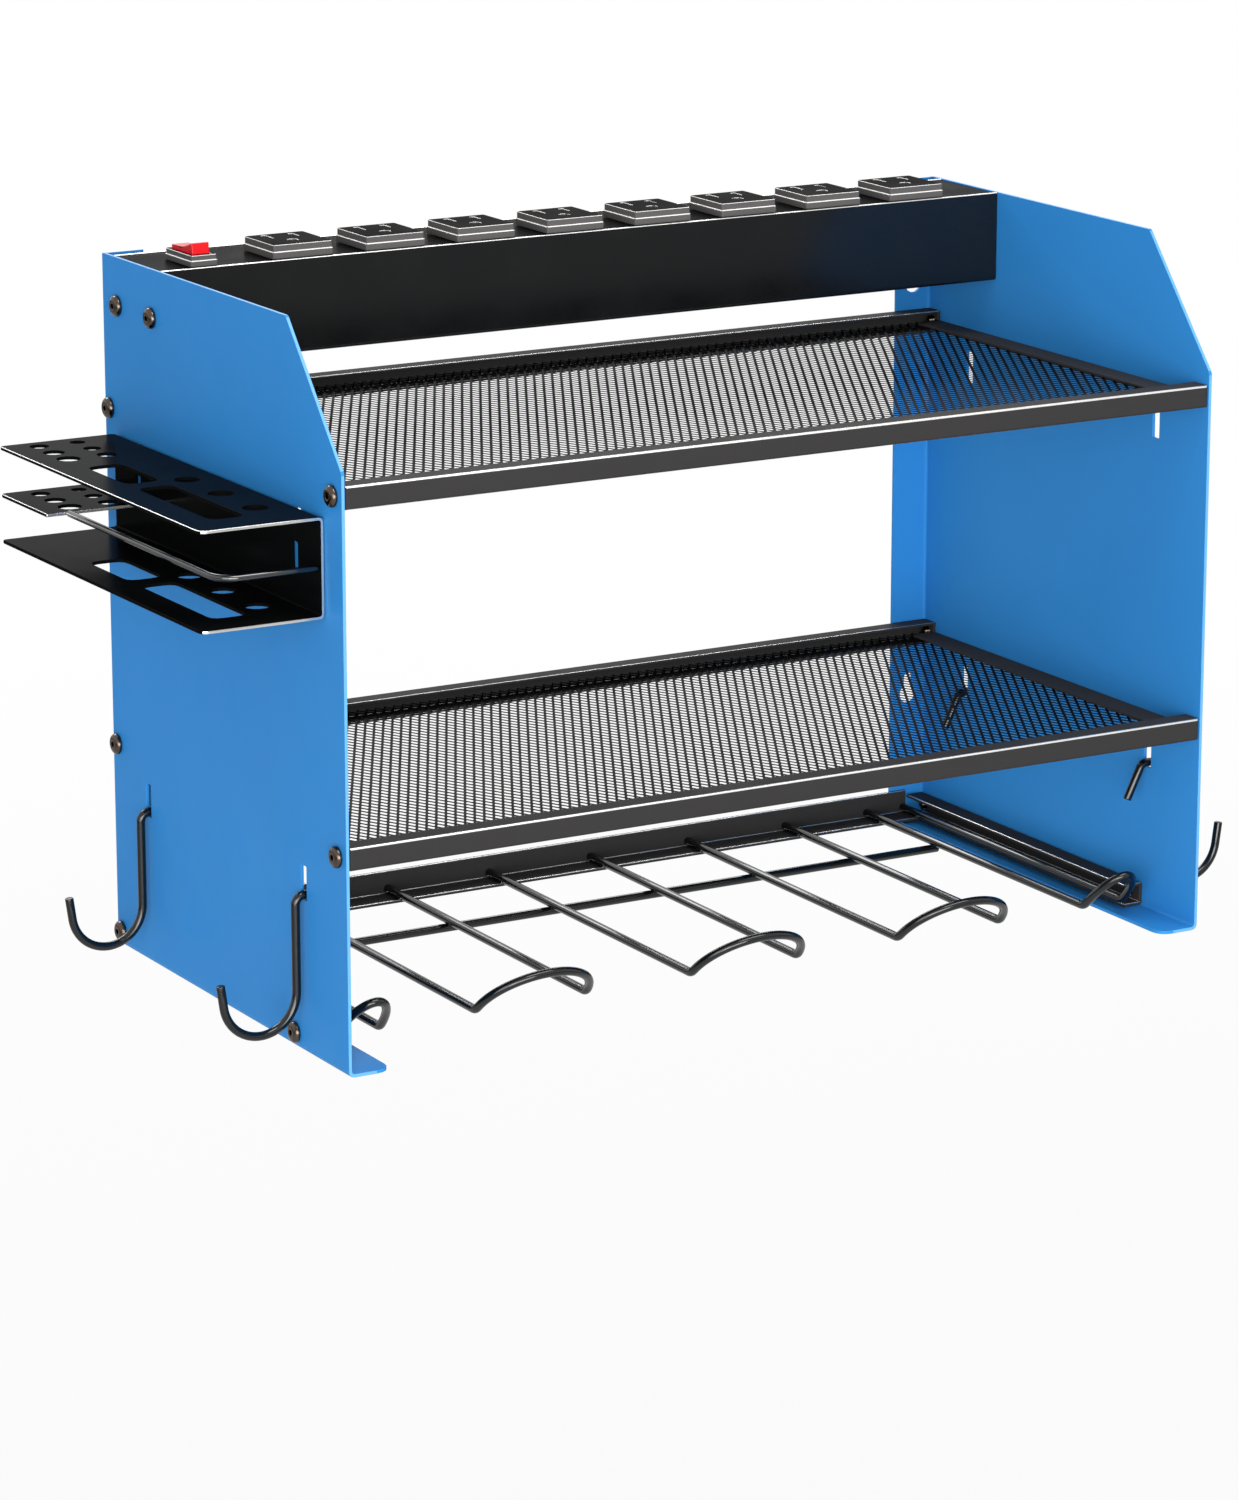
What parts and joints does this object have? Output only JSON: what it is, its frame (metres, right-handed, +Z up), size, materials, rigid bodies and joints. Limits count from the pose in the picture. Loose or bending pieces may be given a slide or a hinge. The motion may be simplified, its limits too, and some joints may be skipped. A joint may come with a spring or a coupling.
{
  "type": "wall mounted power tool organizer",
  "caption": "Wall rack of two bent side panels with mesh shelves, an outlet strip, wire fingers for drills, a hand-tool side rack and hooks.",
  "frame": {"origin": "on the wall plane, midway between the side panels, level with the undersides of the panels", "axes": "+X to the right of someone who faces the organizer, +Y into the wall, +Z up"},
  "size_m": [0.5271, 0.226, 0.3216],
  "materials": {
    "panel_blue": "satin blue powder coat",
    "black_coat": "semi-gloss black powder coat",
    "black_wire": "gloss black enamel on bent wire",
    "strip_black": "smooth black",
    "outlet_grey": "dark grey, satin",
    "rocker_red": "glossy red",
    "bolt_steel": "dark nickel plated, polished"
  },
  "bodies": {
    "organizer": {"left_side_panel": "panel_blue", "right_side_panel": "panel_blue", "upper_shelf_front_rail": "black_coat", "upper_shelf_rear_rail": "black_coat", "upper_shelf_left_rim": "black_coat", "upper_shelf_right_rim": "black_coat", "upper_shelf_mesh": "black_coat", "lower_shelf_front_rail": "black_coat", "lower_shelf_rear_rail": "black_coat", "lower_shelf_left_rim": "black_coat", "lower_shelf_right_rim": "black_coat", "lower_shelf_mesh": "black_coat", "power_strip_tray": "black_coat", "power_strip_case": "strip_black", "outlet_1": "outlet_grey", "outlet_2": "outlet_grey", "outlet_3": "outlet_grey", "outlet_4": "outlet_grey", "outlet_5": "outlet_grey", "outlet_6": "outlet_grey", "outlet_7": "outlet_grey", "outlet_8": "outlet_grey", "switch_frame": "outlet_grey", "cord_gland": "strip_black", "drill_rack_left_rail": "black_coat", "drill_rack_right_rail": "black_coat", "drill_rack_rear_bar": "black_coat", "drill_rack_cross_wire": "black_wire", "drill_finger_1": "black_wire", "drill_finger_2": "black_wire", "drill_finger_3": "black_wire", "drill_finger_4": "black_wire", "drill_finger_5": "black_wire", "upper_shelf_bolt_left_front": "bolt_steel", "upper_shelf_bolt_right_front": "bolt_steel", "upper_shelf_bolt_left_rear": "bolt_steel", "upper_shelf_bolt_right_rear": "bolt_steel", "lower_shelf_bolt_left_front": "bolt_steel", "lower_shelf_bolt_right_front": "bolt_steel", "lower_shelf_bolt_left_rear": "bolt_steel", "lower_shelf_bolt_right_rear": "bolt_steel", "tray_bolt_left_front": "bolt_steel", "tray_bolt_right_front": "bolt_steel", "tray_bolt_left_rear": "bolt_steel", "tray_bolt_right_rear": "bolt_steel", "drill_rack_bolt_left_front": "bolt_steel", "drill_rack_bolt_right_front": "bolt_steel", "drill_rack_bolt_left_rear": "bolt_steel", "drill_rack_bolt_right_rear": "bolt_steel"},
    "switch_rocker": {"switch_rocker": "rocker_red"},
    "side_rack": {"side_rack_shell": "black_coat", "side_rack_bit_shelf": "black_coat", "side_rack_wire": "black_wire"},
    "left_front_hook": {"left_front_hook": "black_wire"},
    "left_rear_hook": {"left_rear_hook": "black_wire"},
    "right_front_hook": {"right_front_hook": "black_wire"},
    "right_rear_hook": {"right_rear_hook": "black_wire"}
  },
  "joints": [
    {"name": "rocker_tilt", "type": "hinge", "parent": "organizer", "child": "switch_rocker", "pos_m": [-0.1915, -0.042, 0.3146], "axis": [1, 0, 0], "range_deg": [0, 18]},
    {"name": "left_front_hook_lift", "type": "slide", "parent": "organizer", "child": "left_front_hook", "axis": [0, 0, 1], "range_m": [0, 0.01]},
    {"name": "left_rear_hook_lift", "type": "slide", "parent": "organizer", "child": "left_rear_hook", "axis": [0, 0, 1], "range_m": [0, 0.01]},
    {"name": "right_front_hook_lift", "type": "slide", "parent": "organizer", "child": "right_front_hook", "axis": [0, 0, 1], "range_m": [0, 0.01]},
    {"name": "right_rear_hook_lift", "type": "slide", "parent": "organizer", "child": "right_rear_hook", "axis": [0, 0, 1], "range_m": [0, 0.01]},
    {"name": "side_rack_lift", "type": "slide", "parent": "organizer", "child": "side_rack", "axis": [0, 0, 1], "range_m": [0, 0.011]}
  ]
}
